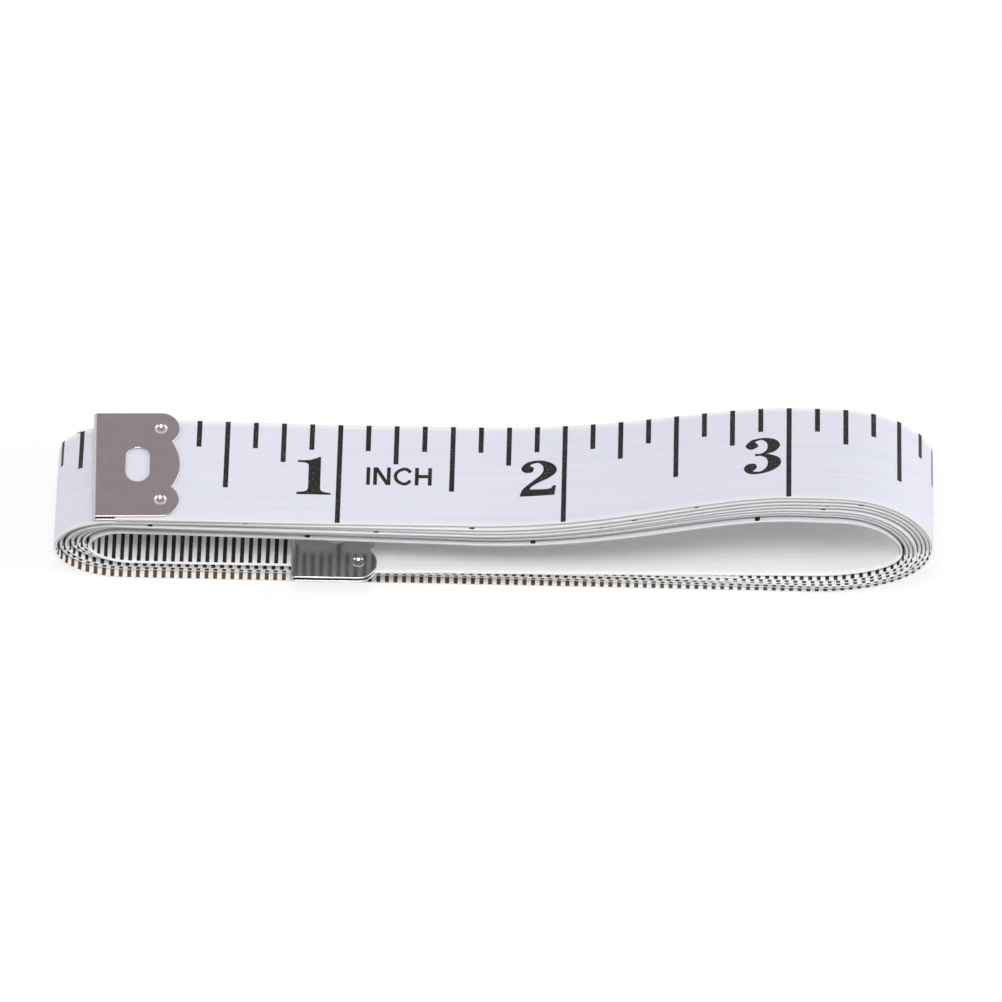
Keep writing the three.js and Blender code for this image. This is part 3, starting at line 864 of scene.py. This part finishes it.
def add_marks(name, start, end):
    """The marks whose middle lies on a stretch of the tape, as one mesh."""
    places = []
    faces = []
    count = 0
    for mark_places, mark_faces in zip(marks.places, marks.faces):
        middle = (mark_places[:, 0].min() + mark_places[:, 0].max()) / 2
        if start <= middle < end:
            places.append(mark_places)
            faces.append(mark_faces + count)
            count += len(mark_places)
    if not places:
        return None
    places = np.vstack(places)
    return add_object(name, place(*places.T), np.vstack(faces).tolist(), ink, places)


# The tape's pieces: the coil, three stretches that end near the outer end's hinges, and one that starts near
# the inner end's.
hinge_s = [s_at(outer_end + OUTER_LAST_LENGTH + OUTER_LINK_LENGTH * i) for i in (2, 1, 0)]
inner_hinge_s = s_at(inner_end - INNER_LINK_LENGTH)
outer_seams = [at + SEAM_BEFORE_HINGE for at in hinge_s]
outer_starts = [*outer_seams[1:], OUTER_END_CUT]
inner_seam = inner_hinge_s - SEAM_BEFORE_HINGE


def add_tape_piece(name, node, start, end, on, bends=None):
    """A stretch of tape with its marks, attached to the body on; when bends (a hinge, the body past it and
    where the bend ends) is given, the stretch is only baked in place, and what bends holds is not used.
    """
    band = add_band(name, start, end)
    printed = add_marks(name + "_marks", start, end)
    for thing in filter(None, (band, printed)):
        if bends:
            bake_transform(thing)
        else:
            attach(thing, on)
    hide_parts(node)
    return band


def point_on_tape(s, across=0):
    return Vector(place(np.array([s]), np.array([across]), np.zeros(1))[0] * MM)


add_tape_piece("coil_band", "tape_coil", outer_seams[0], inner_seam, "coil")
outer_bodies = ["coil", "outer_end_1", "outer_end_2", "outer_end_3"]
outer_hinges = ["outer_end_lift", "outer_end_curl_2", "outer_end_curl_3"]
for i, hinge in enumerate(outer_hinges):
    add_tape_piece(
        f"outer_end_band_{i + 1}",
        f"outer_end_link_{i + 1}",
        outer_starts[i],
        outer_seams[i],
        outer_bodies[i],
        (hinge, outer_bodies[i + 1], point_on_tape(hinge_s[i] - BEND_LENGTH)),
    )
add_tape_piece(
    "inner_end_band",
    "inner_end_link",
    inner_seam,
    tape_length,
    "coil",
    ("inner_end_lift", "inner_end", point_on_tape(inner_hinge_s + BEND_LENGTH)),
)

# The clips: the end of the tape is their origin, the tape lies along +X and the fold is at -X.
clip_mouth = TAPE_THICKNESS + 2 * CLIP_CLEARANCE
clip_height = clip_mouth + 2 * CLIP_SHEET
clip_tip = CLIP_LENGTH - FOLD_REACH
lobe_x = CORNER_LOBE_FROM_FOLD - FOLD_REACH
lobe_y = CLIP_WIDTH / 2 - CORNER_LOBE_RADIUS


def arc(x, y, radius, start, end):
    angles = np.linspace(start, end, ARC_STEPS)
    return [(x + radius * math.cos(a), y + radius * math.sin(a)) for a in angles]


def finished(name, shape):
    mesh = bpy.data.meshes.new(name)
    shape.to_mesh(mesh)
    shape.free()
    thing = bpy.data.objects.new(name, mesh)
    bpy.context.scene.collection.objects.link(thing)
    return thing


def extruded(name, outline, depth, turned=False):
    """A solid over an outline, from -depth to depth: upright, or turned so that it lies along Y."""
    shape = bmesh.new()
    foot = [shape.verts.new((x, y, -depth)) for x, y in outline]
    top = [shape.verts.new((x, y, depth)) for x, y in outline]
    shape.faces.new(foot[::-1])
    shape.faces.new(top)
    for i in range(len(foot)):
        shape.faces.new((foot[i - 1], foot[i], top[i], top[i - 1]))
    if turned:
        shape.transform(Matrix.Rotation(math.pi / 2, 4, "X"))
    bmesh.ops.recalc_face_normals(shape, faces=shape.faces)
    return finished(name, shape)


def combine(thing, operation, other):
    """Changes a solid by another one, which is used up."""
    step = thing.modifiers.new("combine", "BOOLEAN")
    step.operation = operation
    step.object = other
    step.solver = "EXACT"
    result = bpy.data.meshes.new_from_object(thing.evaluated_get(bpy.context.evaluated_depsgraph_get()))
    thing.modifiers.clear()
    thing.data = result
    bpy.data.objects.remove(other)


def fold_outline():
    fold_x = clip_height / 2 - FOLD_REACH
    return [
        (clip_tip, clip_height / 2),
        *arc(fold_x, 0, clip_height / 2, math.pi / 2, 3 * math.pi / 2),
        (clip_tip, -clip_height / 2),
        (clip_tip, -clip_mouth / 2),
        *arc(fold_x, 0, clip_mouth / 2, 3 * math.pi / 2, math.pi / 2),
        (clip_tip, clip_mouth / 2),
    ]


def plan_outline():
    """Two corner lobes with a middle lobe between them, seen from above."""
    notch_x = lobe_x + CORNER_LOBE_RADIUS * math.cos(NOTCH_TURN)
    notch_y = lobe_y - CORNER_LOBE_RADIUS * math.sin(NOTCH_TURN)
    rise = clip_tip - notch_x
    middle_radius = (notch_y**2 + rise**2) / (2 * rise)
    middle_turn = math.asin(notch_y / middle_radius)
    quarter_turn = math.pi / 2
    past_fold = -FOLD_REACH - CLIP_SHEET
    return [
        (past_fold, -CLIP_WIDTH / 2),
        *arc(lobe_x, -lobe_y, CORNER_LOBE_RADIUS, -quarter_turn, NOTCH_TURN),
        *arc(clip_tip - middle_radius, 0, middle_radius, -middle_turn, middle_turn)[1:-1],
        *arc(lobe_x, lobe_y, CORNER_LOBE_RADIUS, -NOTCH_TURN, quarter_turn),
        (past_fold, CLIP_WIDTH / 2),
    ]


def slot_outline():
    slot_x = SLOT_FROM_FOLD - FOLD_REACH
    slot_radius = SLOT_WIDTH / 2
    slot_y = SLOT_LENGTH / 2 - slot_radius
    upper = arc(slot_x, slot_y, slot_radius, 0, math.pi)
    lower = arc(slot_x, -slot_y, slot_radius, math.pi, 2 * math.pi)
    return [*upper, *lower]


def add_clip(name, node, body, gripped, seat):
    """A clip that grips the tape from its end on; seat says how far it is pushed up, shifted and turned."""
    end_s, gripped_s = gripped
    push, shift, turn = seat
    clip = extruded(name, fold_outline(), CLIP_WIDTH, turned=True)
    combine(clip, "INTERSECT", extruded("plan", plan_outline(), clip_height))
    combine(clip, "DIFFERENCE", extruded("slot", slot_outline(), 2 * clip_height))
    pit_radius = (DIMPLE_DIAMETER**2 / 4 + DIMPLE_DEPTH**2) / (2 * DIMPLE_DEPTH)
    for y in (-lobe_y, lobe_y):
        for side in (1, -1):
            shape = bmesh.new()
            bmesh.ops.create_uvsphere(
                shape, u_segments=DIMPLE_SEGMENTS, v_segments=DIMPLE_RINGS, radius=pit_radius
            )
            height = side * (clip_height / 2 - DIMPLE_DEPTH + pit_radius)
            shape.transform(Matrix.Translation((lobe_x, y, height)))
            combine(clip, "DIFFERENCE", finished("pit", shape))
    start = point_on_tape(end_s)
    along = (point_on_tape(gripped_s) - start).normalized()
    upwards = along.cross(point_on_tape(end_s, 1) - start).normalized()
    axes = Matrix((along, upwards.cross(along), upwards)).transposed().to_4x4()
    start += (along * push + upwards.cross(along) * shift) * MM
    turned = axes @ Matrix.Rotation(turn, 4, "Z") @ Matrix.Scale(MM, 4)
    clip.data.transform(Matrix.Translation(start) @ turned)
    clip.data.materials.clear()
    clip.data.materials.append(nickel)
    clip.data.shade_smooth()
    clip.data.set_sharp_from_angle(angle=SHARP_FROM)
    bevel = clip.modifiers.new("rounded_edges", "BEVEL")
    bevel.width = CLIP_ROUNDING * MM
    bevel.segments = ROUNDING_STEPS
    bevel.use_clamp_overlap = False
    bevel.limit_method = "ANGLE"
    bevel.angle_limit = ROUNDED_FROM
    bevel.harden_normals = True
    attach(clip, body)
    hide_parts(node)
    return clip


add_clip(
    "outer_end_clip",
    "outer_clip",
    "outer_end_3",
    (0, clip_tip),
    (OUTER_CLIP_PUSH, OUTER_CLIP_SHIFT, OUTER_CLIP_TURN),
)
add_clip(
    "inner_end_clip",
    "inner_clip",
    "inner_end",
    (tape_length, tape_length - clip_tip),
    (0, -INNER_CLIP_SHIFT, INNER_CLIP_TURN),
)


# The floor, the light and the camera.
FLOOR_HALF = 3000.0
FLOOR_BELOW = 0.03
FLOOR_COLOUR = (0.95, 0.95, 0.95)
FLOOR_ROUGHNESS = 0.9
FLOOR_GLOW = 0.8  # share of the floor's white that no shadow darkens
SKY_LIGHT = 0.3
WALL_COLOUR = (1.0, 1.0, 1.0)  # how reflections see the room at its walls
ZENITH_COLOUR = (0.475, 0.393, 0.425)  # and overhead
WALLS_TO = 0.45  # height in a direction of length 1 where the walls start to pass into what is overhead
OVERHEAD_FROM = 0.8
LAMPS = {  # where each lamp stands, its size, and its power in watts
    "key": ((0, -0.25, 0.97), 0.35, 4.9),
    "left": ((-0.8, -0.1, 0.45), 0.9, 2.6),
    "right": ((0.8, -0.1, 0.45), 0.9, 4.5),
}


def floor_material():
    """White to the camera and in reflections, with part of the shadow that falls on it."""
    material, tree, shader = new_material("floor_white")
    shader.inputs["Base Color"].default_value = (*FLOOR_COLOUR, 1)
    shader.inputs["Roughness"].default_value = FLOOR_ROUGHNESS
    shader.inputs["Specular IOR Level"].default_value = 0.0
    glow = add_node(tree, "ShaderNodeEmission")
    glow.inputs["Strength"].default_value = 1.0
    mixed = add_node(tree, "ShaderNodeMixShader")
    path = add_node(tree, "ShaderNodeLightPath")
    seen = math_node(tree, "MAXIMUM", path.outputs["Is Camera Ray"], path.outputs["Is Glossy Ray"])
    seen = math_node(tree, "MAXIMUM", seen, path.outputs["Is Transmission Ray"])
    tree.links.new(math_node(tree, "MULTIPLY", seen, FLOOR_GLOW), mixed.inputs[0])
    tree.links.new(shader.outputs[0], mixed.inputs[1])
    tree.links.new(glow.outputs[0], mixed.inputs[2])
    tree.links.new(mixed.outputs[0], tree.nodes["Material Output"].inputs["Surface"])
    return material


floor_corners = np.array(((-1, -1, 0), (1, -1, 0), (1, 1, 0), (-1, 1, 0))) * FLOOR_HALF
floor_corners -= (0, 0, FLOOR_BELOW)
floor = add_object("floor", floor_corners, [(0, 1, 2, 3)], floor_material())

world = bpy.data.worlds.new("white_room")
bpy.context.scene.world = world
world.use_nodes = True
room = world.node_tree
sky = room.nodes["Background"]
sky.inputs["Color"].default_value = (1, 1, 1, 1)
sky.inputs["Strength"].default_value = SKY_LIGHT
white = add_node(room, "ShaderNodeBackground")
white.inputs["Strength"].default_value = 1.0
reflected = add_node(room, "ShaderNodeBackground")
room_direction = add_node(room, "ShaderNodeSeparateXYZ")
room.links.new(add_node(room, "ShaderNodeTexCoord").outputs["Generated"], room_direction.inputs[0])
overhead = map_range(room, room_direction.outputs["Z"], WALLS_TO, OVERHEAD_FROM)
room.links.new(colour_mix(room, overhead, WALL_COLOUR, ZENITH_COLOUR), reflected.inputs["Color"])
room_path = add_node(room, "ShaderNodeLightPath")
mirrored = math_node(
    room, "MAXIMUM", room_path.outputs["Is Glossy Ray"], room_path.outputs["Is Transmission Ray"]
)


def room_mix(factor, first, second):
    node = add_node(room, "ShaderNodeMixShader")
    room.links.new(factor, node.inputs[0])
    room.links.new(first.outputs[0], node.inputs[1])
    room.links.new(second.outputs[0], node.inputs[2])
    return node


room_light = room_mix(mirrored, sky, reflected)
room_light = room_mix(room_path.outputs["Is Camera Ray"], room_light, white)
room.links.new(room_light.outputs[0], room.nodes["World Output"].inputs["Surface"])


def add_lamp(name, place_m, size, power):
    """A soft round lamp that faces the object."""
    lamp = bpy.data.lights.new(name, "AREA")
    lamp.shape = "DISK"
    lamp.size = size
    lamp.energy = power
    thing = bpy.data.objects.new(name, lamp)
    thing.location = place_m
    thing.rotation_euler = (-Vector(place_m)).to_track_quat("-Z", "Y").to_euler()
    bpy.context.scene.collection.objects.link(thing)


for lamp_name, lamp_values in LAMPS.items():
    add_lamp(lamp_name, *lamp_values)

direction = Vector(
    (
        math.cos(CAMERA_ELEVATION) * math.sin(CAMERA_AZIMUTH),
        -math.cos(CAMERA_ELEVATION) * math.cos(CAMERA_AZIMUTH),
        math.sin(CAMERA_ELEVATION),
    )
)
camera = bpy.data.cameras.new("camera")
camera.sensor_width = SENSOR_WIDTH
camera.lens = SENSOR_WIDTH * PHOTO_FOCUS / PHOTO_SIZE
camera.clip_start = CAMERA_NEAR
camera_object = bpy.data.objects.new("camera", camera)
camera_object.location = CAMERA_TARGET + direction * CAMERA_DISTANCE
camera_object.rotation_euler = (-direction).to_track_quat("-Z", "Y").to_euler()
bpy.context.scene.collection.objects.link(camera_object)
bpy.context.scene.camera = camera_object
bpy.context.scene.view_settings.view_transform = "Standard"

bpy.context.view_layer.update()
